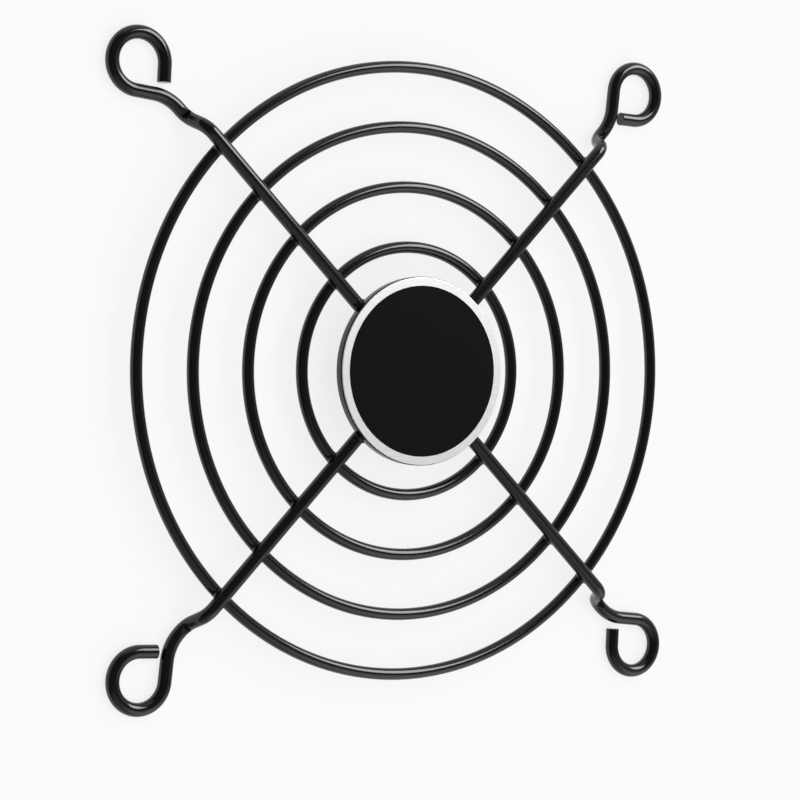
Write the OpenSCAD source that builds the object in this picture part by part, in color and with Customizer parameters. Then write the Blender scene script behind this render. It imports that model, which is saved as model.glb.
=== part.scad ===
// Wire finger guard for an 80 mm fan: four concentric wire rings, four wire ribs
// that each end in a screw eyelet, and a round badge welded on at the middle.
// It lies on the undersides of its eyelets, and +Z points to its front.

/* [Fan] */
// Distance between the fan's screw holes, along a side
hole_spacing = 71.5; // [71.1:0.1:72.4]
// Clear diameter of each screw eyelet
eyelet_bore = 5.2; // [4.8:0.1:5.4]

/* [Rings] */
// Diameter of the ring wire
ring_wire = 1.45; // [1.2:0.05:1.6]
// Centreline radius of the inner ring
inner_ring_r = 15.1; // [14.7:0.1:15.4]
// Step in radius from each ring to the next
ring_pitch = 7.3; // [7:0.1:7.4]
// How deep the welds let each rib down into a ring
ring_set_down = 0.4; // [0.2:0.05:0.5]

/* [Ribs] */
// Diameter of the rib wire
rib_wire = 1.65; // [1.4:0.05:1.8]
// Radius at which the ribs begin, under the disc
rib_start_r = 6; // [4:0.5:8]
// Slope of the drop from a rib to its eyelet, in degrees
drop_angle = 58; // [52:1:62]
// Height of that drop
drop_height = 3; // [2.7:0.1:3.3]
// Centreline radius of the two bends in the drop
drop_bend_r = 2; // [1.7:0.1:2.2]
// Length of the level stretch between the drop and the eyelet's stem
level_run = 0.2; // [0.1:0.1:0.6]
// How much thinner the wire gets where it is bent
bend_thinning = 0.02; // [0.01:0.01:0.04]
// Chamfer on the sheared ends of the wire
end_chamfer = 0.12; // [0.05:0.01:0.2]

/* [Eyelets] */
// Turn of the stem, away from the rib's line, in degrees
stem_turn = 38; // [35:1:42]
// Centreline radius of the stem's bend
stem_bend_r = 5.5; // [4.5:0.1:6]
// How far round the loop goes, in degrees
loop_sweep = 266; // [262:1:268]
// Straight tail after the loop
tail = 2; // [1.8:0.1:2.4]
// Depth of the land that the forming pin leaves inside the loop
pin_land = 0.05; // [0.04:0.01:0.08]

/* [Press marks] */
// Depth of the flat that the forming tool leaves at the foot of the drop
mark_depth = 0.18; // [0.12:0.02:0.22]
// Rise of that flat towards the eyelet, in degrees
mark_rise = 10; // [8:1:14]
// Distance from the corner of the drop to the flat's sharp inner edge
mark_offset = 0.3; // [0.2:0.05:0.4]

/* [Badge] */
// Diameter of the backing disc
disc_d = 22.9; // [22:0.1:24]
// Thickness of the backing disc
disc_t = 1.1; // [0.8:0.1:1.4]
// How deep the welds let the disc down onto the ribs
disc_set_down = 0.1; // [0.05:0.05:0.3]
// Width of the backing disc's edge that shows around the badge plate
disc_margin = 0.1; // [0.05:0.05:0.3]
// Thickness of the badge plate
plate_t = 0.2; // [0.15:0.05:0.4]
// Width of the bare rim around the dark printed field
rim_w = 1; // [0.6:0.1:1.6]
// Thickness of the printed field
print_t = 0.03; // [0.02:0.01:0.05]

/* [Hidden] */

wire_fn = 48;   // facets round a wire
bend_fn = 96;   // facets round a full turn of a bend
round_fn = 180; // facets round the rings and the badge
lap = 0.05;     // how far a straight stretch runs on into a bend at its full thickness
coat = [0.09, 0.09, 0.10];

// Heights
eyelet_z = rib_wire / 2;
rib_z = eyelet_z + drop_height;
ring_z = rib_z - (rib_wire + ring_wire) / 2 + ring_set_down;
disc_z = rib_z + rib_wire / 2 - disc_set_down;
plate_z = disc_z + disc_t;
print_z = plate_z + plate_t;

// Places along a rib, outwards from the guard's axis
eyelet_r = hole_spacing / sqrt(2);
bend_wire = rib_wire - bend_thinning;
loop_r = eyelet_bore / 2 - pin_land + bend_wire / 2;
stem_corner = eyelet_r - loop_r / sin(stem_turn);
stem_bend_run = stem_bend_r * tan(stem_turn / 2);
drop_bend_run = drop_bend_r * tan(drop_angle / 2);
drop_foot = stem_corner - stem_bend_run - level_run - drop_bend_run;
drop_top = drop_foot - drop_height / tan(drop_angle);

// Angles of the ribs, from +X
RIB_ANGLES = [45, 135, 225, 315];

// --- wire, laid from the origin along +X; each stretch carries its children to its end ---

// Both ends of a straight are chamfered, whether they lie within a bend or end the wire
module straight(len) {
    r = rib_wire / 2;
    from = -lap;
    to = len + lap;
    rotate([0, 90, 0])
        rotate_extrude($fn = wire_fn)
            polygon([[0, from - end_chamfer], [r - end_chamfer, from - end_chamfer], [r, from],
                     [r, to], [r - end_chamfer, to + end_chamfer], [0, to + end_chamfer]]);
    translate([len, 0, 0]) children();
}

module turn_left(r, angle) {
    translate([0, r, 0]) {
        rotate([0, 0, -90])
            rotate_extrude(angle = angle, $fn = bend_fn)
                translate([r, 0]) circle(d = bend_wire, $fn = wire_fn);
        rotate([0, 0, angle]) translate([0, -r, 0]) children();
    }
}

module turn_right(r, angle) {
    mirror([0, 1, 0]) turn_left(r, angle) mirror([0, 1, 0]) children();
}

// A left turn in the upright plane, so that the wire climbs
module turn_up(r, angle) {
    rotate([90, 0, 0]) turn_left(r, angle) rotate([-90, 0, 0]) children();
}

module turn_down(r, angle) {
    rotate([90, 0, 0]) turn_right(r, angle) rotate([-90, 0, 0]) children();
}

// --- sub-parts ---

module rib_route() {
    start = rib_start_r + end_chamfer + lap;
    translate([start, 0, rib_z])
        straight(drop_top - drop_bend_run - start)
            turn_down(drop_bend_r, drop_angle)
            straight(drop_height / sin(drop_angle) - 2 * drop_bend_run)
            turn_up(drop_bend_r, drop_angle)
            straight(level_run)
            turn_left(stem_bend_r, stem_turn)
            straight(loop_r / tan(stem_turn) - stem_bend_run)
            turn_right(loop_r, loop_sweep)
            straight(tail - lap);
}

// The flat that a forming tool presses into the front of the wire, sharp at its inner edge
module press_mark() {
    translate([drop_foot + mark_offset, -rib_wire, eyelet_z + rib_wire / 2 - mark_depth])
        rotate([0, -mark_rise, 0])
            cube([2, 2 * rib_wire, rib_wire]);
}

module rib(angle) {
    color(coat)
        rotate([0, 0, angle])
            difference() {
                rib_route();
                translate([eyelet_r, 0, -1])
                    cylinder(d = eyelet_bore, h = rib_wire + 2, $fn = bend_fn);
                press_mark();
            }
}

// The straight stretches of the four ribs, to seat the rings and the disc on them
module rib_seats() {
    for (angle = RIB_ANGLES)
        rotate([0, 0, angle])
            translate([rib_start_r, 0, rib_z])
                rotate([0, 90, 0])
                    cylinder(d = rib_wire, h = drop_top - drop_bend_run - rib_start_r, $fn = wire_fn);
}

module ring(step) {
    color(coat)
        difference() {
            translate([0, 0, ring_z])
                rotate_extrude($fn = round_fn)
                    translate([inner_ring_r + step * ring_pitch, 0])
                        circle(d = ring_wire, $fn = wire_fn);
            rib_seats();
        }
}

module backing_disc() {
    color(coat)
        difference() {
            translate([0, 0, disc_z]) cylinder(d = disc_d, h = disc_t, $fn = round_fn);
            rib_seats();
        }
}

module badge_plate() {
    color([0.86, 0.86, 0.87])
        translate([0, 0, plate_z])
            cylinder(d = disc_d - 2 * disc_margin, h = plate_t, $fn = round_fn);
}

// The dark printed field, left bare
module badge_print() {
    color([0.06, 0.06, 0.06])
        translate([0, 0, print_z])
            cylinder(d = disc_d - 2 * disc_margin - 2 * rim_w, h = print_t, $fn = round_fn);
}

ring(3);  // outer_ring
ring(2);  // third_ring
ring(1);  // second_ring
ring(0);  // inner_ring
rib(RIB_ANGLES[0]);  // rib_upper_right
rib(RIB_ANGLES[1]);  // rib_upper_left
rib(RIB_ANGLES[2]);  // rib_lower_left
rib(RIB_ANGLES[3]);  // rib_lower_right
backing_disc();
badge_plate();
badge_print();
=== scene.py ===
"""A coated wire finger guard, sized for an 80 mm fan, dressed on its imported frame.

Rings and ribs are swept from their routes, every crossing gets its weld, and the
badge is turned from its outlines. Lengths are metres, in the frame of the guard:
it lies on its eyelets, with +Z out of its front and +Y towards its upper side.
"""

import math

import bmesh
import bpy
from bpy.props import FloatProperty, FloatVectorProperty, IntProperty, PointerProperty
from mathutils import Matrix, Vector


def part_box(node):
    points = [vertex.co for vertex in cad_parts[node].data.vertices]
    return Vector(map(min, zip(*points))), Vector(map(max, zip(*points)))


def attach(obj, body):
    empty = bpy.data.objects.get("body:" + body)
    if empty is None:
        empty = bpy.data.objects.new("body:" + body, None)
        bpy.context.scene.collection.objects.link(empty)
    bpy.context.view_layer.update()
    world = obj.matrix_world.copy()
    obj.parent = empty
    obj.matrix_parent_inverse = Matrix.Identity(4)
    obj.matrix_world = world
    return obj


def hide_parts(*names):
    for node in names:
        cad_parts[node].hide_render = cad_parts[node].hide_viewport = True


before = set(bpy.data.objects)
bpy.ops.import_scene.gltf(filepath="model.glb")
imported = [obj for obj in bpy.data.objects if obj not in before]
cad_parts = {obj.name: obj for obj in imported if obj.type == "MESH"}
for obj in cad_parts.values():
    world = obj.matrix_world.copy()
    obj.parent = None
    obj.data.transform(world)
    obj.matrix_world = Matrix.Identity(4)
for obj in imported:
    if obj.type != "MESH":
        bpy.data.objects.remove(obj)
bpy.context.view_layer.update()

bl_info = {
    "name": "Wire Fan Guard",
    "version": (1, 0, 0),
    "blender": (4, 5, 0),
    "location": "View3D > Sidebar > Fan Guard",
    "description": "Builds a coated wire fan guard with its welds and badge",
    "category": "Object",
}

MM = 0.001
MICRON = 0.000001
RINGS = ("inner_ring", "second_ring", "third_ring", "outer_ring")
# Direction in which each rib runs from the middle, in degrees from +X
RIB_ANGLES = {
    "rib_upper_right": 45,
    "rib_upper_left": 135,
    "rib_lower_left": 225,
    "rib_lower_right": 315,
}
# Where each ring's ends were butted together, in degrees from +X
SEAM_ANGLES = {"inner_ring": 210, "second_ring": 293, "third_ring": 45, "outer_ring": 229}


# --- sizes measured on the frame ---


def box_mm(node):
    """A node's lowest and highest corners, in millimetres."""
    low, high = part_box(node)
    return Vector(low) / MM, Vector(high) / MM


def ring_form(node):
    """(centreline radius, height of the centreline, wire diameter) of a ring, in millimetres."""
    low, high = box_mm(node)
    wire = high.z - low.z
    return high.x - wire / 2, (low.z + high.z) / 2, wire


def disc_form(node):
    """(radius, underside, top) of a round flat node, in millimetres."""
    low, high = box_mm(node)
    return high.x, low.z, high.z


# The ribs lie on the surface with their eyelets and rise by the drop
RIB_TOP = box_mm("rib_upper_right")[1].z
DROP_HEIGHT = 3.0
RIB_WIRE = RIB_TOP - DROP_HEIGHT

# Spacing of a wire's sections, in millimetres and degrees: close at the ends, the
# seams and the press mark, where the wire's thickness or top changes quickly
DROP_STEP = 0.15
LEVEL_STEP = 0.05
STEM_STEP = 0.4
MARK_BEND_STEP = 1.2
END_SECTIONS = 8
SEAM_SECTIONS = 24
SEAM_REACH = 4  # times the seam's half width, where its bead has died away
RING_DENSITY = 1.5  # sections of a ring for each bend step

# Half width of the box in which one weld is worked out, in millimetres
WELD_REACH = 1.8


def length_prop(name, millimetres, description, low=0.0):
    """A length that a user may change, stored in metres."""
    return FloatProperty(
        name=name,
        description=description,
        default=millimetres * MM,
        min=low * MM,
        precision=5,
        subtype="DISTANCE",
        unit="LENGTH",
    )


def angle_prop(name, degrees, description):
    """An angle that a user may change, stored in radians."""
    return FloatProperty(
        name=name,
        description=description,
        default=math.radians(degrees),
        subtype="ANGLE",
        unit="ROTATION",
    )


def colour_prop(name, rgb, description):
    return FloatVectorProperty(
        name=name, description=description, default=rgb, size=3, min=0, max=1, subtype="COLOR"
    )


def share_prop(name, value, description):
    """A number from 0 to 1."""
    return FloatProperty(
        name=name, description=description, default=value, min=0, max=1, subtype="FACTOR"
    )


def radiance_prop(name, value, description):
    return FloatProperty(name=name, description=description, default=value, min=0)


# --- properties ---


class WireSettings(bpy.types.PropertyGroup):
    """How the wires are drawn and finished."""

    sides: IntProperty(
        name="Sides", description="Facets round a ring's wire", default=48, min=12, max=96
    )
    bend_step: angle_prop("Bend step", 3, "Angle between the sections of a bend")
    seam_height: length_prop("Seam height", 0.05, "Height of the bead at a ring's butt weld")
    seam_width: length_prop("Seam width", 0.16, "Half width of the bead at a butt weld", 0.02)
    end_round: length_prop("End rounding", 0.2, "Radius of the sheared ends' edges")


class RibSettings(bpy.types.PropertyGroup):
    """The route of a rib, as the frame has it."""

    sides: IntProperty(
        name="Sides", description="Facets round a rib's wire", default=64, min=12, max=128
    )
    wire: length_prop("Wire", RIB_WIRE, "Diameter of the rib wire")
    start: length_prop("Start", 6.0, "Radius at which a rib begins, under the badge")
    hole_spacing: length_prop("Hole spacing", 71.5, "Distance between the fan's screw holes")
    bore: length_prop("Eyelet bore", 5.2, "Clear diameter of an eyelet")
    pin_land: length_prop("Pin land", 0.05, "Depth of the forming pin's land in an eyelet")
    thinning: length_prop("Thinning", 0.02, "How much thinner the wire is in a bend")
    drop_angle: angle_prop("Drop angle", 58, "Slope of the drop to the eyelet")
    drop_height: length_prop("Drop height", DROP_HEIGHT, "Height of the drop to the eyelet")
    drop_bend: length_prop("Drop bend", 2.0, "Centreline radius of the bends in the drop")
    level_run: length_prop("Level run", 0.2, "Level stretch between the drop and the stem")
    stem_turn: angle_prop("Stem turn", 38, "Turn of the stem from the rib's line")
    stem_bend: length_prop("Stem bend", 5.5, "Centreline radius of the stem's bend")
    loop_sweep: angle_prop("Loop sweep", 266, "How far round the eyelet goes")
    tail: length_prop("Tail", 2.0, "Straight tail after the loop")
    end_chamfer: length_prop("End chamfer", 0.12, "What the chamfer adds to the tail")
    mark_offset: length_prop("Mark offset", 0.3, "From the drop's corner to the press mark")
    mark_depth: length_prop("Mark depth", 0.18, "Depth of the press mark")
    mark_rise: angle_prop("Mark rise", 10, "Rise of the press mark towards the eyelet")


class WeldSettings(bpy.types.PropertyGroup):
    """The welds where wires cross and where the ribs carry the badge."""

    blend: length_prop("Blend", 0.46, "How far a weld's fillet reaches between two wires", 0.1)
    disc_blend: length_prop("Disc blend", 0.4, "Reach of the fillet between a rib and the badge", 0.1)
    unevenness: share_prop("Unevenness", 0.45, "Share by which a fillet varies")
    voxel: length_prop("Voxel", 0.05, "Grain at which a weld's shape is worked out", 0.02)


class BadgeSettings(bpy.types.PropertyGroup):
    """The edges of the badge's discs."""

    disc_round: length_prop("Disc edge", 0.09, "Rounding of the backing disc's edges")
    plate_round: length_prop("Plate edge", 0.05, "Rounding of the plate's upper edge")
    print_round: length_prop("Print edge", 0.012, "Rounding of the printed field's edge")
    segments: IntProperty(
        name="Segments", description="Facets round the badge", default=256, min=64, max=512
    )


class FinishSettings(bpy.types.PropertyGroup):
    """Colours and surface of the coat, the plate and the print."""

    coat: colour_prop("Coat", (0.0032, 0.0032, 0.0035), "Colour of the black coat")
    coat_rough: share_prop("Coat roughness", 0.13, "Roughness of the coat")
    plate: colour_prop("Plate", (0.91, 0.91, 0.92), "Colour of the brushed plate")
    plate_rough: share_prop("Plate roughness", 0.375, "Roughness of the plate")
    printed: colour_prop("Print", (0.0028, 0.0028, 0.003), "Colour of the printed field")
    print_rough: share_prop("Print roughness", 0.15, "Roughness of the print")


class StageSettings(bpy.types.PropertyGroup):
    """Camera, floor and light."""

    camera_at: FloatVectorProperty(
        name="Camera",
        description="Place of the camera",
        default=(-0.16977, 0.00239, 0.27025),
        size=3,
        subtype="TRANSLATION",
        unit="LENGTH",
    )
    camera_yaw: angle_prop("Yaw", 32.2, "Turn of the camera about Y, from straight down")
    camera_pitch: angle_prop("Pitch", 0.969, "Turn of the camera about X")
    camera_roll: angle_prop("Roll", 0.474, "Turn of the camera about its own axis")
    lens: FloatProperty(
        name="Lens", description="Focal length of the camera", default=116.8, unit="CAMERA"
    )
    floor: colour_prop("Floor", (0.9, 0.9, 0.9), "Colour of the floor")
    floor_white: share_prop("Floor white", 0.8, "Share of plain white in the floor's look")
    key: radiance_prop("Softbox", 8.6, "Radiance of the softbox")
    overhead: radiance_prop("Overhead", 1.2, "Radiance of the soft overhead light")
    room: radiance_prop("Room", 0.1, "Radiance of the dim room")
    glow: radiance_prop("Glow", 0.48, "Radiance of the wide glow round the softbox")
    near_side: radiance_prop("Near side", 1.0, "Radiance of the room towards -Y")
    far_side: radiance_prop("Far side", 0.75, "Radiance of the room towards +Y")


class GuardSettings(bpy.types.PropertyGroup):
    """All settings of the guard."""

    wires: PointerProperty(type=WireSettings)
    ribs: PointerProperty(type=RibSettings)
    welds: PointerProperty(type=WeldSettings)
    badge: PointerProperty(type=BadgeSettings)
    finish: PointerProperty(type=FinishSettings)
    stage: PointerProperty(type=StageSettings)


# --- node trees ---


class Graph:
    """Short calls for adding nodes to a tree and feeding their sockets."""

    def __init__(self, tree):
        self.tree = tree

    def feed(self, socket, value):
        if isinstance(value, bpy.types.NodeSocket):
            self.tree.links.new(value, socket)
        else:
            socket.default_value = value

    def node(self, kind, inputs=None, **settings):
        made = self.tree.nodes.new(kind)
        for name, value in settings.items():
            setattr(made, name, value)
        for key, value in (inputs or {}).items():
            self.feed(made.inputs[key], value)
        return made

    def math(self, operation, *values, clamp=False):
        inputs = dict(enumerate(values))
        made = self.node("ShaderNodeMath", inputs, operation=operation, use_clamp=clamp)
        return made.outputs[0]

    def blend(self, share, low, high):
        """low where share is 0, high where it is 1."""
        inputs = {"Value": share, "To Min": low, "To Max": high}
        return self.node("ShaderNodeMapRange", inputs).outputs["Result"]

    def split(self, vector):
        return self.node("ShaderNodeSeparateXYZ", {0: vector}).outputs

    def join(self, x, y, z):
        return self.node("ShaderNodeCombineXYZ", {0: x, 1: y, 2: z}).outputs[0]

    def noise(self, vector, scale, detail, **more):
        inputs = {"Vector": vector, "Scale": scale, "Detail": detail, **more}
        return self.node("ShaderNodeTexNoise", inputs).outputs["Fac"]

    def bump(self, height, distance, normal=None):
        """A normal that shows a height, on top of another normal where one is given."""
        inputs = {"Height": height, "Distance": distance, "Strength": 1.0}
        if normal is not None:
            inputs["Normal"] = normal
        return self.node("ShaderNodeBump", inputs).outputs[0]


def new_group(name, kind, inputs, outputs):
    """A node group with named sockets: (graph, its input sockets, its output node)."""
    tree = bpy.data.node_groups.new(name, kind)
    graph = Graph(tree)
    for label, socket, default in inputs:
        made = tree.interface.new_socket(name=label, in_out="INPUT", socket_type=socket)
        if default is not None:
            made.default_value = default
    for label, socket in outputs:
        tree.interface.new_socket(name=label, in_out="OUTPUT", socket_type=socket)
    source = graph.node("NodeGroupInput")
    sink = graph.node("NodeGroupOutput")
    return graph, source.outputs, sink


def tree_of(name, build):
    """The node group of that name, built the first time it is asked for."""
    return bpy.data.node_groups.get(name) or build(name)


FLOAT, INT, VECTOR = "NodeSocketFloat", "NodeSocketInt", "NodeSocketVector"
GEOMETRY, MATERIAL, BOOL = "NodeSocketGeometry", "NodeSocketMaterial", "NodeSocketBool"


def finish_mesh(graph, geometry, material):
    """Smooth shading, the material and Realize Instances, which end every tree here."""
    smooth = graph.node("GeometryNodeSetShadeSmooth", {"Geometry": geometry})
    real = graph.node("GeometryNodeRealizeInstances", {"Geometry": smooth.outputs[0]})
    painted = graph.node(
        "GeometryNodeSetMaterial", {"Geometry": real.outputs[0], "Material": material}
    )
    return painted.outputs[0]


def build_wire_tree(name):
    """A round wire along the route given as edges, with rounded ends or a butt-weld bead."""
    graph, given, sink = new_group(
        name,
        "GeometryNodeTree",
        [
            ("Route", GEOMETRY, None),
            ("Diameter", FLOAT, 0.0014),
            ("Sides", INT, 48),
            ("End Rounding", FLOAT, 0.0),
            ("Seam Height", FLOAT, 0.0),
            ("Seam Width", FLOAT, 0.0001),
            ("Thinning", FLOAT, 0.0),
            ("Mark From", FLOAT, 1.0),
            ("Mark Height", FLOAT, 1.0),
            ("Mark Slope", FLOAT, 0.0),
            ("Turn", FLOAT, 0.0),
            ("Material", MATERIAL, None),
        ],
        [("Wire", GEOMETRY)],
    )
    radius = graph.math("DIVIDE", given["Diameter"], 2.0)
    curve = graph.node("GeometryNodeMeshToCurve", {"Mesh": given["Route"]}).outputs[0]
    along = graph.node("GeometryNodeSplineParameter").outputs["Length"]
    total = graph.node("GeometryNodeSplineLength").outputs["Length"]
    to_end = graph.math("MINIMUM", along, graph.math("SUBTRACT", total, along))

    nearly_nought = 0.0000001
    rounding = graph.math("MAXIMUM", given["End Rounding"], nearly_nought)
    short = graph.math("SUBTRACT", 1.0, graph.math("DIVIDE", to_end, rounding), clamp=True)
    arc = graph.math("SQRT", graph.math("SUBTRACT", 1.0, graph.math("POWER", short, 2.0)))
    lost = graph.math("MULTIPLY", given["End Rounding"], graph.math("SUBTRACT", 1.0, arc))

    across = graph.math("POWER", graph.math("DIVIDE", to_end, given["Seam Width"]), 2.0)
    bell = graph.math("EXPONENT", graph.math("MULTIPLY", across, -1.0))
    bead = graph.math("MULTIPLY", given["Seam Height"], bell)

    bent = graph.node("GeometryNodeInputNamedAttribute", {"Name": "bend"}, data_type="FLOAT")
    thinner = graph.math("MULTIPLY", bent.outputs["Attribute"], given["Thinning"])
    change = graph.math("SUBTRACT", graph.math("SUBTRACT", bead, lost), thinner)
    scale = graph.math("ADD", 1.0, graph.math("DIVIDE", change, radius))
    sized = graph.node("GeometryNodeSetCurveRadius", {"Curve": curve, "Radius": scale})

    circle = graph.node(
        "GeometryNodeCurvePrimitiveCircle", {"Resolution": given["Sides"], "Radius": radius}
    )
    swept = graph.node(
        "GeometryNodeCurveToMesh",
        {"Curve": sized.outputs[0], "Profile Curve": circle.outputs[0], "Fill Caps": True},
    )

    # The forming tool's flat: nothing outwards of its edge stands above its plane
    position = graph.node("GeometryNodeInputPosition").outputs[0]
    x, y, z = graph.split(position)
    outwards = graph.math("SUBTRACT", x, given["Mark From"])
    plane = graph.math("MULTIPLY_ADD", outwards, given["Mark Slope"], given["Mark Height"])
    pressed = graph.join(x, y, graph.math("MINIMUM", z, plane))
    flat = graph.node(
        "GeometryNodeSetPosition",
        {
            "Geometry": swept.outputs[0],
            "Selection": graph.math("GREATER_THAN", outwards, 0.0),
            "Position": pressed,
        },
    )
    turned = graph.node(
        "GeometryNodeTransform",
        {"Geometry": flat.outputs[0], "Rotation": graph.join(0.0, 0.0, given["Turn"])},
    )
    done = finish_mesh(graph, turned.outputs[0], given["Material"])
    graph.feed(sink.inputs[0], done)
    return graph.tree


def build_weld_tree(name):
    """The metal that a weld pushes into the corner between a rib and a ring or the disc.

    Sizes are in millimetres. Both bodies are distance fields, and the weld is what a soft
    union of the two has more than the plain one.
    """
    graph, given, sink = new_group(
        name,
        "GeometryNodeTree",
        [
            ("Geometry", GEOMETRY, None),
            ("Radius", FLOAT, 15.0),
            ("Height", FLOAT, 2.7),
            ("Half Thickness", FLOAT, 0.7),
            ("Is Disc", BOOL, False),
            ("Rib Height", FLOAT, 3.8),
            ("Rib Radius", FLOAT, 0.8),
            ("Blend", FLOAT, 0.5),
            ("Unevenness", FLOAT, 0.3),
            ("Seed", FLOAT, 0.0),
            ("Reach", FLOAT, 1.7),
            ("Cells", INT, 60),
            ("Turn", FLOAT, 0.0),
            ("Material", MATERIAL, None),
        ],
        [("Weld", GEOMETRY)],
    )
    position = graph.node("GeometryNodeInputPosition").outputs[0]
    x, y, z = graph.split(position)

    def length(a, b):
        return graph.math("SQRT", graph.math("MULTIPLY_ADD", a, a, graph.math("MULTIPLY", b, b)))

    outwards = graph.math("SUBTRACT", length(x, y), given["Radius"])
    above = graph.math("SUBTRACT", z, given["Height"])
    ring = graph.math("SUBTRACT", length(outwards, above), given["Half Thickness"])
    past_face = graph.math("SUBTRACT", graph.math("ABSOLUTE", above), given["Half Thickness"])
    disc = graph.math("MAXIMUM", outwards, past_face)
    carried = graph.node(
        "GeometryNodeSwitch",
        {"Switch": given["Is Disc"], "False": ring, "True": disc},
        input_type="FLOAT",
    ).outputs[0]
    rib = graph.math(
        "SUBTRACT", length(y, graph.math("SUBTRACT", z, given["Rib Height"])), given["Rib Radius"]
    )

    patches_per_mm = 1.3
    noise = graph.node(
        "ShaderNodeTexNoise",
        {"Vector": position, "W": given["Seed"], "Scale": patches_per_mm, "Detail": 2.0},
        noise_dimensions="4D",
    ).outputs["Fac"]
    swing = graph.math("MULTIPLY", graph.math("SUBTRACT", noise, 0.5), 2.0)
    share = graph.math("MULTIPLY_ADD", swing, given["Unevenness"], 1.0)
    reach = graph.math("MULTIPLY", given["Blend"], share)

    apart = graph.math("ABSOLUTE", graph.math("SUBTRACT", carried, rib))
    near = graph.math("MAXIMUM", graph.math("SUBTRACT", reach, apart), 0.0)
    gain = graph.math("DIVIDE", graph.math("POWER", near, 2.0), graph.math("MULTIPLY", reach, 4.0))
    union = graph.math("SUBTRACT", graph.math("MINIMUM", carried, rib), gain)
    thinnest = 0.012
    outside = graph.math("MAXIMUM", union, graph.math("SUBTRACT", thinnest, gain))
    density = graph.math("MULTIPLY", outside, -1.0)

    middle = graph.join(given["Radius"], 0.0, given["Rib Height"])
    half = graph.join(given["Reach"], given["Reach"], given["Reach"])
    low = graph.node("ShaderNodeVectorMath", {0: middle, 1: half}, operation="SUBTRACT")
    high = graph.node("ShaderNodeVectorMath", {0: middle, 1: half}, operation="ADD")
    volume = graph.node(
        "GeometryNodeVolumeCube",
        {
            "Density": density,
            "Background": -1.0,
            "Min": low.outputs[0],
            "Max": high.outputs[0],
            "Resolution X": given["Cells"],
            "Resolution Y": given["Cells"],
            "Resolution Z": given["Cells"],
        },
    )
    shell = graph.node("GeometryNodeVolumeToMesh", {"Volume": volume.outputs[0], "Threshold": 0.0})
    placed = graph.node(
        "GeometryNodeTransform",
        {
            "Geometry": shell.outputs[0],
            "Rotation": graph.join(0.0, 0.0, given["Turn"]),
            "Scale": (MM, MM, MM),
        },
    )
    done = finish_mesh(graph, placed.outputs[0], given["Material"])
    graph.feed(sink.inputs[0], done)
    return graph.tree


def run_tree(name, mesh, tree, values):
    """The plain mesh that a Geometry Nodes tree makes of a mesh."""
    carrier = bpy.data.objects.new(name, mesh)
    bpy.context.scene.collection.objects.link(carrier)
    modifier = carrier.modifiers.new("Shape", "NODES")
    modifier.node_group = tree
    sockets = {
        item.name: item.identifier
        for item in tree.interface.items_tree
        if item.item_type == "SOCKET" and item.in_out == "INPUT"
    }
    for label, value in values.items():
        modifier[sockets[label]] = value
    graph = bpy.context.evaluated_depsgraph_get()
    made = bpy.data.meshes.new_from_object(carrier.evaluated_get(graph))
    carrier.modifiers.clear()
    bpy.data.objects.remove(carrier)
    made.name = name
    if not made.polygons:
        raise RuntimeError(f"{tree.name} made nothing for {name}")
    return made


# --- pieces ---


def add_piece(name, mesh, slot, *replaced):
    """Puts a mesh in the scene as a finished piece of the guard."""
    piece = bpy.data.objects.new(name, mesh)
    bpy.context.scene.collection.objects.link(piece)
    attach(piece, "root")
    if replaced:
        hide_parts(*replaced)
    return piece


def sharpen(mesh, degrees=40):
    """Keeps edges crisp where faces meet at more than that angle."""
    mesh.set_sharp_from_angle(angle=math.radians(degrees))


class Route:
    """The centreline of a wire, laid stretch by stretch in millimetres."""

    def __init__(self, start, bend_step):
        self.at = Matrix.Translation(start)
        self.bend_step = bend_step
        self.points = [Vector(start)]
        self.bent = [0.0]

    def _add(self, local, bent):
        self.points.append(self.at @ Vector(local))
        self.bent.append(bent)

    def straight(self, length, step=1.0):
        count = max(1, math.ceil(length / step))
        for k in range(1, count + 1):
            self._add((length * k / count, 0, 0), 0.0)
        self.at = self.at @ Matrix.Translation((length, 0, 0))

    def turn(self, radius, angle, axis, step=None):
        """A bend about the local Y or Z axis, by the right-hand rule."""
        side = Vector((0, 0, -1)) if axis == "Y" else Vector((0, 1, 0))
        centre = side * math.copysign(radius, angle)
        count = max(2, math.ceil(abs(angle) / (step or self.bend_step)))
        for k in range(1, count + 1):
            part = Matrix.Rotation(angle * k / count, 4, axis)
            # the wire thins over the first quarter of a bend, and back over the last
            ease = min(1.0, 4 * min(k, count - k) / count)
            self._add(centre + part @ -centre, ease)
        whole = Matrix.Rotation(angle, 4, axis)
        self.at = self.at @ Matrix.Translation(centre) @ whole @ Matrix.Translation(-centre)

    def mesh(self, name, closed=False):
        """The route as a mesh of edges, in metres."""
        count = len(self.points)
        edges = [(k, k + 1) for k in range(count - 1)]
        if closed:
            edges.append((count - 1, 0))
        made = bpy.data.meshes.new(name)
        made.from_pydata([p * MM for p in self.points], edges, [])
        bend = made.attributes.new("bend", "FLOAT", "POINT")
        bend.data.foreach_set("value", self.bent)
        return made


def ring_route(name, radius, height, seam, wires):
    """A full circle that starts at its seam, with close sections there."""
    route = Route((radius, 0, height), wires.bend_step)
    near = SEAM_REACH * wires.seam_width / MM / radius
    close = [near * (k / SEAM_SECTIONS) for k in range(SEAM_SECTIONS)]
    rest = 2 * math.pi - 2 * near
    count = math.ceil(rest / wires.bend_step * RING_DENSITY)
    angles = close + [near + rest * k / count for k in range(count + 1)]
    angles += [2 * math.pi - a for a in reversed(close[1:])]
    turned = [seam + a for a in angles]
    route.points = [
        Vector((radius * math.cos(a), radius * math.sin(a), height)) for a in turned
    ]
    route.bent = [0.0] * len(angles)
    return route.mesh(name, closed=True)


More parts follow.
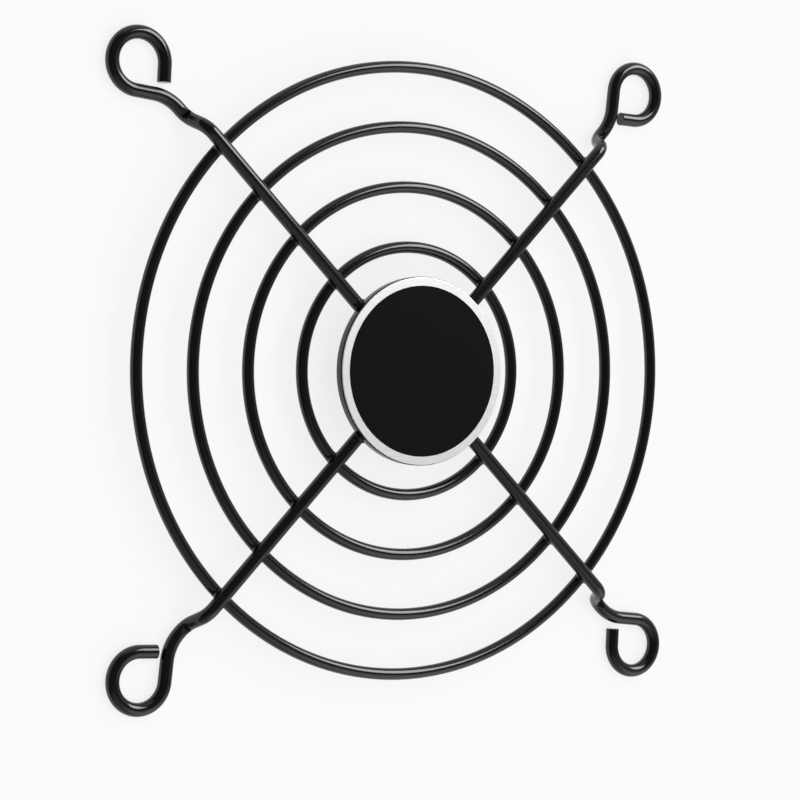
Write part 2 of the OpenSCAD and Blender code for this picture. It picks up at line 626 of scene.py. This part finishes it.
def make_ring(name, settings, material):
    """One ring, swept as a closed wire with a bead at its butt weld."""
    radius, height, wire = ring_form(name)
    wires = settings.wires
    seam = math.radians(SEAM_ANGLES[name])
    values = {
        "Diameter": wire * MM,
        "Sides": wires.sides,
        "Seam Height": wires.seam_height,
        "Seam Width": wires.seam_width,
        "Material": material,
    }
    route = ring_route(name + "_route", radius, height, seam, wires)
    mesh = run_tree(name + "_wire", route, tree_of("Coated wire", build_wire_tree), values)
    return add_piece(name + "_wire", mesh, "black_coat", name)


class RibForm:
    """Places along a rib, in millimetres, worked out as in the frame."""

    def __init__(self, ribs):
        self.wire = ribs.wire / MM
        self.top = RIB_TOP
        self.rib_z = RIB_TOP - self.wire / 2
        bend_wire = self.wire - ribs.thinning / MM
        drop_bend = ribs.drop_bend / MM
        stem_bend = ribs.stem_bend / MM
        self.loop_r = ribs.bore / MM / 2 - ribs.pin_land / MM + bend_wire / 2
        self.eyelet_r = ribs.hole_spacing / MM / math.sqrt(2)
        self.stem_run = stem_bend * math.tan(ribs.stem_turn / 2)
        self.bend_run = drop_bend * math.tan(ribs.drop_angle / 2)
        corner = self.eyelet_r - self.loop_r / math.sin(ribs.stem_turn)
        level = ribs.level_run / MM
        self.drop_foot = corner - self.stem_run - level - self.bend_run
        self.drop_h = ribs.drop_height / MM
        self.drop_top = self.drop_foot - self.drop_h / math.tan(ribs.drop_angle)
        self.stem_len = self.loop_r / math.tan(ribs.stem_turn) - self.stem_run


def rib_route(ribs, wires, form):
    """A rib along +X: level run, drop, stem, eyelet and tail."""
    start = ribs.start / MM
    rounding = wires.end_round / MM
    close_step = math.radians(MARK_BEND_STEP)
    route = Route((start, 0, form.rib_z), wires.bend_step)
    route.straight(rounding, rounding / END_SECTIONS)
    route.straight(form.drop_top - form.bend_run - start - rounding)
    route.turn(ribs.drop_bend / MM, ribs.drop_angle, "Y")
    slope = form.drop_h / math.sin(ribs.drop_angle) - 2 * form.bend_run
    route.straight(slope, DROP_STEP)
    route.turn(ribs.drop_bend / MM, -ribs.drop_angle, "Y", close_step)
    route.straight(ribs.level_run / MM, LEVEL_STEP)
    route.turn(ribs.stem_bend / MM, ribs.stem_turn, "Z", close_step)
    route.straight(form.stem_len, STEM_STEP)
    route.turn(form.loop_r, -ribs.loop_sweep, "Z")
    route.straight(ribs.tail / MM + ribs.end_chamfer / MM - rounding, STEM_STEP)
    route.straight(rounding, rounding / END_SECTIONS)
    return route.mesh("rib_route")


def make_rib(name, settings, material):
    """One rib, swept along +X, pressed by the forming tool and turned to its place."""
    ribs, wires = settings.ribs, settings.wires
    form = RibForm(ribs)
    foot_top = form.top - form.drop_h
    values = {
        "Diameter": ribs.wire,
        "Sides": ribs.sides,
        "End Rounding": wires.end_round,
        "Thinning": ribs.thinning / 2,
        "Mark From": (form.drop_foot + ribs.mark_offset / MM) * MM,
        "Mark Height": foot_top * MM - ribs.mark_depth,
        "Mark Slope": math.tan(ribs.mark_rise),
        "Turn": math.radians(RIB_ANGLES[name]),
        "Material": material,
    }
    route = rib_route(ribs, wires, form)
    mesh = run_tree(name + "_wire", route, tree_of("Coated wire", build_wire_tree), values)
    sharpen(mesh, 20)
    return add_piece(name + "_wire", mesh, "black_coat", name)


def merge_meshes(name, meshes):
    """Several meshes as one, with the first one's materials."""
    shell = bmesh.new()
    for mesh in meshes:
        shell.from_mesh(mesh)
    merged = bpy.data.meshes.new(name)
    shell.to_mesh(merged)
    shell.free()
    for material in meshes[0].materials:
        merged.materials.append(material)
    for mesh in meshes:
        bpy.data.meshes.remove(mesh)
    return merged


def weld_values(settings, seed, turn, material):
    """What all the welds on one rib take alike."""
    welds = settings.welds
    return {
        "Rib Height": RIB_TOP - settings.ribs.wire / MM / 2,
        "Rib Radius": settings.ribs.wire / MM / 2,
        "Unevenness": welds.unevenness,
        "Seed": float(seed),
        "Reach": WELD_REACH,
        "Cells": math.ceil(2 * WELD_REACH / (welds.voxel / MM)),
        "Turn": math.radians(turn),
        "Material": material,
    }


def make_welds(carried, settings, material):
    """The four welds that hold a ring, or the backing disc, to the ribs."""
    tree = tree_of("Weld fillet", build_weld_tree)
    is_disc = carried not in RINGS
    if is_disc:
        radius, low, high = disc_form(carried)
        height, thickness = (low + high) / 2, high - low
    else:
        radius, height, thickness = ring_form(carried)
    welds = settings.welds
    meshes = []
    for k, turn in enumerate(RIB_ANGLES.values()):
        values = weld_values(settings, round(radius) * 10 + k, turn, material)
        values.update(
            {
                "Radius": radius,
                "Height": height,
                "Half Thickness": thickness / 2,
                "Is Disc": is_disc,
                "Blend": (welds.disc_blend if is_disc else welds.blend) / MM,
            }
        )
        empty = bpy.data.meshes.new("weld_seed")
        meshes.append(run_tree("weld", empty, tree, values))
    name = carried + "_welds"
    return add_piece(name, merge_meshes(name, meshes), "black_coat")


def round_corner(centre, radius, start, end, steps=6):
    """Points on an arc, in degrees, for a turned outline."""
    angles = [math.radians(start + (end - start) * k / steps) for k in range(steps + 1)]
    return [(centre[0] + radius * math.cos(a), centre[1] + radius * math.sin(a)) for a in angles]


def turn_outline(name, outline, segments, material):
    """A solid of revolution about Z. Its outline runs from the axis round to the axis."""
    shell = bmesh.new()
    low = shell.verts.new((0, 0, outline[0][1] * MM))
    high = shell.verts.new((0, 0, outline[-1][1] * MM))
    rows = []
    for r, z in outline[1:-1]:
        row = []
        for k in range(segments):
            a = 2 * math.pi * k / segments
            row.append(shell.verts.new((r * math.cos(a) * MM, r * math.sin(a) * MM, z * MM)))
        rows.append(row)
    for k in range(segments):
        n = (k + 1) % segments
        shell.faces.new((low, rows[0][n], rows[0][k]))
        shell.faces.new((high, rows[-1][k], rows[-1][n]))
        for under, over in zip(rows, rows[1:]):
            shell.faces.new((under[k], under[n], over[n], over[k]))
    for face in shell.faces:
        face.smooth = True
    mesh = bpy.data.meshes.new(name)
    shell.to_mesh(mesh)
    shell.free()
    mesh.materials.append(material)
    sharpen(mesh)
    return mesh


def disc_outline(radius, low, high, top_round, under_round=0.0):
    """The outline of a flat disc with rounded edges."""
    points = [(0, low)]
    if under_round:
        points += round_corner((radius - under_round, low + under_round), under_round, -90, 0)
    else:
        points.append((radius, low))
    points += round_corner((radius - top_round, high - top_round), top_round, 0, 90)
    # a close row keeps the flat face's shading flat
    points.append((radius - top_round * 1.5, high))
    return points + [(0, high)]


# --- materials ---


def build_coat_surface(name):
    """Orange peel and fine unevenness of a sprayed coat: a roughness and a normal."""
    graph, given, sink = new_group(
        name,
        "ShaderNodeTree",
        [
            ("Roughness", FLOAT, 0.2),
            ("Roughness Swing", FLOAT, 0.06),
            ("Peel Size", FLOAT, 0.0006),
            ("Peel Height", FLOAT, MICRON),
            ("Grit Height", FLOAT, MICRON),
        ],
        [("Roughness", FLOAT), ("Normal", VECTOR)],
    )
    place = graph.node("ShaderNodeTexCoord").outputs["Object"]
    peel_scale = graph.math("DIVIDE", 1.0, given["Peel Size"])
    peel = graph.noise(place, peel_scale, 1.5)
    grit = graph.noise(place, graph.math("MULTIPLY", peel_scale, 7.0), 2.0)
    cloud = graph.noise(place, graph.math("MULTIPLY", peel_scale, 0.25), 3.0)
    lift = graph.math("MULTIPLY", peel, given["Peel Height"])
    height = graph.math("MULTIPLY_ADD", grit, given["Grit Height"], lift)
    swing = graph.math("SUBTRACT", graph.math("ADD", cloud, grit), 1.0)
    rough = graph.math("MULTIPLY_ADD", swing, given["Roughness Swing"], given["Roughness"])
    graph.feed(sink.inputs["Roughness"], rough)
    graph.feed(sink.inputs["Normal"], graph.bump(height, 1.0))
    return graph.tree


def build_brush_streaks(name):
    """Fine streaks along X, as a brush leaves them: a value from 0 to 1."""
    graph, given, sink = new_group(
        name,
        "ShaderNodeTree",
        [("Length", FLOAT, 0.03), ("Fine Width", FLOAT, 0.00012), ("Broad Width", FLOAT, 0.0004)],
        [("Streaks", FLOAT)],
    )
    x, y, _ = graph.split(graph.node("ShaderNodeTexCoord").outputs["Object"])
    along = graph.math("DIVIDE", x, given["Length"])

    def streaks(width, detail):
        across = graph.math("DIVIDE", y, width)
        return graph.noise(graph.join(along, across, 0.0), 1.0, detail, Roughness=0.6)

    fine_share = 0.6
    fine = graph.math("MULTIPLY", streaks(given["Fine Width"], 2.0), fine_share)
    broad = streaks(given["Broad Width"], 1.0)
    mixed = graph.math("MULTIPLY_ADD", broad, 1 - fine_share, fine)
    graph.feed(sink.inputs["Streaks"], mixed)
    return graph.tree


def new_material(name):
    """A new material, its graph and its Principled shader."""
    material = bpy.data.materials.new(name)
    material.use_nodes = True
    tree = material.node_tree
    shader = next(n for n in tree.nodes if n.type == "BSDF_PRINCIPLED")
    return material, Graph(tree), shader


def add_coat_surface(graph, values):
    """The shared coat surface, placed in a material with values of its own."""
    tree = tree_of("Coat surface", build_coat_surface)
    return graph.node("ShaderNodeGroup", values, node_tree=tree).outputs


def add_brush_streaks(graph):
    """The shared streaks, placed in a material."""
    tree = tree_of("Brush streaks", build_brush_streaks)
    return graph.node("ShaderNodeGroup", node_tree=tree).outputs["Streaks"]


def black_coat(name, colour, values):
    """The sprayed coat, which several operators may ask for."""
    found = bpy.data.materials.get(name)
    if found:
        return found
    material, graph, shader = new_material(name)
    surface = add_coat_surface(graph, values)
    shader.inputs["Base Color"].default_value = (*colour, 1)
    graph.feed(shader.inputs["Roughness"], surface["Roughness"])
    graph.feed(shader.inputs["Normal"], surface["Normal"])
    return material


def wire_coat(finish):
    values = {
        "Roughness": finish.coat_rough,
        "Peel Height": 0.8 * MICRON,
        "Grit Height": 0.3 * MICRON,
    }
    return black_coat("Black wire coat", finish.coat, values)


def weld_coat(finish):
    """The coat over a weld, rougher and lumpier than on the wire."""
    rougher = 0.08
    values = {
        "Roughness": finish.coat_rough + rougher,
        "Roughness Swing": 0.12,
        "Peel Size": 0.35 * MM,
        "Peel Height": 12 * MICRON,
    }
    return black_coat("Black coat over welds", finish.coat, values)


def print_finish(finish):
    """Gloss print, through which the plate's brushing shows faintly."""
    material, graph, shader = new_material("Black print")
    values = {
        "Roughness": finish.print_rough,
        "Roughness Swing": 0.02,
        "Peel Size": 1.2 * MM,
        "Peel Height": 0.6 * MICRON,
        "Grit Height": 0.2 * MICRON,
    }
    streak_height = 2.5 * MICRON
    surface = add_coat_surface(graph, values)
    shader.inputs["Base Color"].default_value = (*finish.printed, 1)
    graph.feed(shader.inputs["Roughness"], surface["Roughness"])
    normal = graph.bump(add_brush_streaks(graph), streak_height, surface["Normal"])
    graph.feed(shader.inputs["Normal"], normal)
    return material


def brushed_plate(finish):
    """Aluminium brushed along X: fine streaks in its colour, roughness and normal."""
    material, graph, shader = new_material("Brushed plate")
    darkest, lightest = 0.88, 1.06
    rough_swing = 0.02
    streak_height = 1.2 * MICRON
    streaks = add_brush_streaks(graph)
    tone = graph.blend(streaks, darkest, lightest)
    colour = graph.node(
        "ShaderNodeVectorMath",
        {0: tuple(finish.plate), 1: graph.join(tone, tone, tone)},
        operation="MULTIPLY",
    )
    graph.feed(shader.inputs["Base Color"], colour.outputs[0])
    smooth, rough = finish.plate_rough - rough_swing, finish.plate_rough + rough_swing
    graph.feed(shader.inputs["Roughness"], graph.blend(streaks, smooth, rough))
    graph.feed(shader.inputs["Normal"], graph.bump(streaks, streak_height))
    shader.inputs["Metallic"].default_value = 1.0
    shader.inputs["Anisotropic"].default_value = 0.2
    graph.feed(shader.inputs["Tangent"], graph.join(0.0, 1.0, 0.0))
    return material


def floor_surface(stage):
    """Plain pale floor that looks white and keeps the guard's soft shadow."""
    material, graph, shader = new_material("Studio floor")
    shader.inputs["Base Color"].default_value = (*stage.floor, 1)
    shader.inputs["Roughness"].default_value = 0.9
    shader.inputs["Specular IOR Level"].default_value = 0.0
    path = graph.node("ShaderNodeLightPath").outputs
    seen = graph.math("MAXIMUM", path["Is Camera Ray"], path["Is Glossy Ray"])
    seen = graph.math("MAXIMUM", seen, path["Is Transmission Ray"])
    share = graph.math("MULTIPLY", seen, stage.floor_white)
    white = graph.node("ShaderNodeEmission", {"Color": (1, 1, 1, 1), "Strength": 1.0})
    mix = graph.node(
        "ShaderNodeMixShader", {0: share, 1: shader.outputs[0], 2: white.outputs[0]}
    )
    output = next(n for n in graph.tree.nodes if n.type == "OUTPUT_MATERIAL")
    graph.feed(output.inputs["Surface"], mix.outputs[0])
    return material


# --- stage ---


def lay_floor(stage):
    """A wide flat floor, which isn't part of the guard."""
    half = 6.0
    mesh = bpy.data.meshes.new("floor")
    corners = [(-half, -half, 0), (half, -half, 0), (half, half, 0), (-half, half, 0)]
    mesh.from_pydata(corners, [], [(0, 1, 2, 3)])
    mesh.materials.append(floor_surface(stage))
    floor = bpy.data.objects.new("floor", mesh)
    bpy.context.scene.collection.objects.link(floor)


def place_camera(stage):
    """Looks down on the guard, turned about Y, then X, then Z from straight down."""
    data = bpy.data.cameras.new("camera")
    data.lens = stage.lens
    data.sensor_width = 36.0
    data.clip_start = 0.01
    camera = bpy.data.objects.new("camera", data)
    camera.location = stage.camera_at
    camera.rotation_mode = "YXZ"
    camera.rotation_euler = (-stage.camera_pitch, -stage.camera_yaw, -stage.camera_roll)
    bpy.context.scene.collection.objects.link(camera)
    bpy.context.scene.camera = camera


def add_panel_light(name, towards, along, distance, width, length, radiance):
    """A rectangular light at a direction and distance from the guard, facing it."""
    data = bpy.data.lights.new(name, "AREA")
    data.shape = "RECTANGLE"
    data.size = width
    data.size_y = length
    data.energy = radiance * math.pi * width * length
    light = bpy.data.objects.new(name, data)
    back = Vector(towards).normalized()
    up = (Vector(along) - back * Vector(along).dot(back)).normalized()
    side = up.cross(back)
    turn = Matrix((side, up, back)).transposed().to_4x4()
    light.matrix_world = Matrix.Translation(back * distance) @ turn
    bpy.context.scene.collection.objects.link(light)
    return light


def set_lights(stage):
    """A softbox that shows in gloss alone, and an overhead light that shows in none.

    The overhead light and the world together light a surface at about the level at
    which its colour is written.
    """
    softbox = add_panel_light(
        "softbox",
        towards=(0.593, 0.513, 0.621),
        along=(0.470, 0.407, -0.784),
        distance=0.8,
        width=0.36,
        length=0.51,
        radiance=stage.key,
    )
    softbox.visible_diffuse = False
    overhead = add_panel_light(
        "overhead",
        towards=(0.1, 0.15, 1.0),
        along=(0, 1, 0),
        distance=0.8,
        width=1.3,
        length=1.3,
        radiance=stage.overhead,
    )
    overhead.visible_glossy = False


def set_world(stage):
    """A dim room with soft glows: a wide one round the softbox, and pale sides at +Y and -Y."""
    world = bpy.data.worlds.new("studio")
    bpy.context.scene.world = world
    world.use_nodes = True
    graph = Graph(world.node_tree)
    direction = graph.node("ShaderNodeTexCoord").outputs["Generated"]
    # direction, angles from it at which a glow is full and has died away, radiance
    glows = (
        ((0.79, 0.45, 0.42), 15, 40, stage.glow),
        ((0.55, -0.62, 0.50), 5, 40, stage.near_side),
        ((0.05, -0.90, 0.42), 20, 60, stage.near_side * 0.45),
        ((0.12, 0.95, 0.28), 2, 32, stage.far_side),
    )
    total = stage.room
    for towards, inner, outer, radiance in glows:
        middle = tuple(Vector(towards).normalized())
        facing = graph.node(
            "ShaderNodeVectorMath", {0: direction, 1: middle}, operation="DOT_PRODUCT"
        )
        lobe = graph.node(
            "ShaderNodeMapRange",
            {
                "Value": facing.outputs["Value"],
                "From Min": math.cos(math.radians(outer)),
                "From Max": math.cos(math.radians(inner)),
                "To Max": radiance,
            },
            interpolation_type="SMOOTHSTEP",
        )
        total = graph.math("ADD", total, lobe.outputs["Result"])
    background = next(n for n in graph.tree.nodes if n.type == "BACKGROUND")
    graph.feed(background.inputs["Color"], (1, 1, 1, 1))
    graph.feed(background.inputs["Strength"], total)


# --- operators ---


class GUARD_OT_rings(bpy.types.Operator):
    """Sweep the four wire rings"""

    bl_idname = "guard.rings"
    bl_label = "Rings"

    def execute(self, context):
        settings = context.scene.guard
        material = wire_coat(settings.finish)
        for name in RINGS:
            make_ring(name, settings, material)
        return {"FINISHED"}


class GUARD_OT_ribs(bpy.types.Operator):
    """Sweep the four ribs with their eyelets"""

    bl_idname = "guard.ribs"
    bl_label = "Ribs"

    def execute(self, context):
        settings = context.scene.guard
        material = wire_coat(settings.finish)
        for name in RIB_ANGLES:
            make_rib(name, settings, material)
        return {"FINISHED"}


class GUARD_OT_welds(bpy.types.Operator):
    """Fill the corners where the ribs carry the rings and the badge"""

    bl_idname = "guard.welds"
    bl_label = "Welds"

    def execute(self, context):
        settings = context.scene.guard
        material = weld_coat(settings.finish)
        for carried in (*RINGS, "backing_disc"):
            make_welds(carried, settings, material)
        return {"FINISHED"}


class GUARD_OT_badge(bpy.types.Operator):
    """Turn the backing disc, the brushed plate and its printed field"""

    bl_idname = "guard.badge"
    bl_label = "Badge"

    def execute(self, context):
        settings = context.scene.guard
        badge, finish = settings.badge, settings.finish
        disc_round = badge.disc_round / MM
        pieces = (
            ("backing_disc", disc_round, disc_round, wire_coat(finish), "black_coat"),
            ("badge_plate", badge.plate_round / MM, 0.0, brushed_plate(finish), "badge_plate"),
            ("badge_print", badge.print_round / MM, 0.0, print_finish(finish), "badge_print"),
        )
        for node, top_round, under_round, material, slot in pieces:
            outline = disc_outline(*disc_form(node), top_round, under_round)
            mesh = turn_outline(node + "_turned", outline, badge.segments, material)
            add_piece(node + "_turned", mesh, slot, node)
        return {"FINISHED"}


class GUARD_OT_stage(bpy.types.Operator):
    """Set the floor, the lights and the camera"""

    bl_idname = "guard.stage"
    bl_label = "Stage"

    def execute(self, context):
        stage = context.scene.guard.stage
        context.scene.view_settings.view_transform = "Standard"
        set_world(stage)
        lay_floor(stage)
        set_lights(stage)
        place_camera(stage)
        return {"FINISHED"}


class GUARD_PT_panel(bpy.types.Panel):
    """Lists the guard's pieces and settings"""

    bl_idname = "GUARD_PT_panel"
    bl_label = "Fan Guard"
    bl_space_type = "VIEW_3D"
    bl_region_type = "UI"
    bl_category = "Fan Guard"

    def draw(self, context):
        settings = context.scene.guard
        groups = (
            ("guard.rings", settings.wires),
            ("guard.ribs", settings.ribs),
            ("guard.welds", settings.welds),
            ("guard.badge", settings.badge),
            (None, settings.finish),
            ("guard.stage", settings.stage),
        )
        for operator, group in groups:
            box = self.layout.box()
            if operator:
                box.operator(operator)
            for name in group.__annotations__:
                box.prop(group, name)


CLASSES = (
    WireSettings,
    RibSettings,
    WeldSettings,
    BadgeSettings,
    FinishSettings,
    StageSettings,
    GuardSettings,
    GUARD_OT_rings,
    GUARD_OT_ribs,
    GUARD_OT_welds,
    GUARD_OT_badge,
    GUARD_OT_stage,
    GUARD_PT_panel,
)


def register():
    for cls in CLASSES:
        bpy.utils.register_class(cls)
    bpy.types.Scene.guard = PointerProperty(type=GuardSettings)


def unregister():
    del bpy.types.Scene.guard
    for cls in reversed(CLASSES):
        bpy.utils.unregister_class(cls)


def main():
    register()
    for step in ("rings", "ribs", "welds", "badge", "stage"):
        getattr(bpy.ops.guard, step)()


if __name__ == "__main__":
    main()
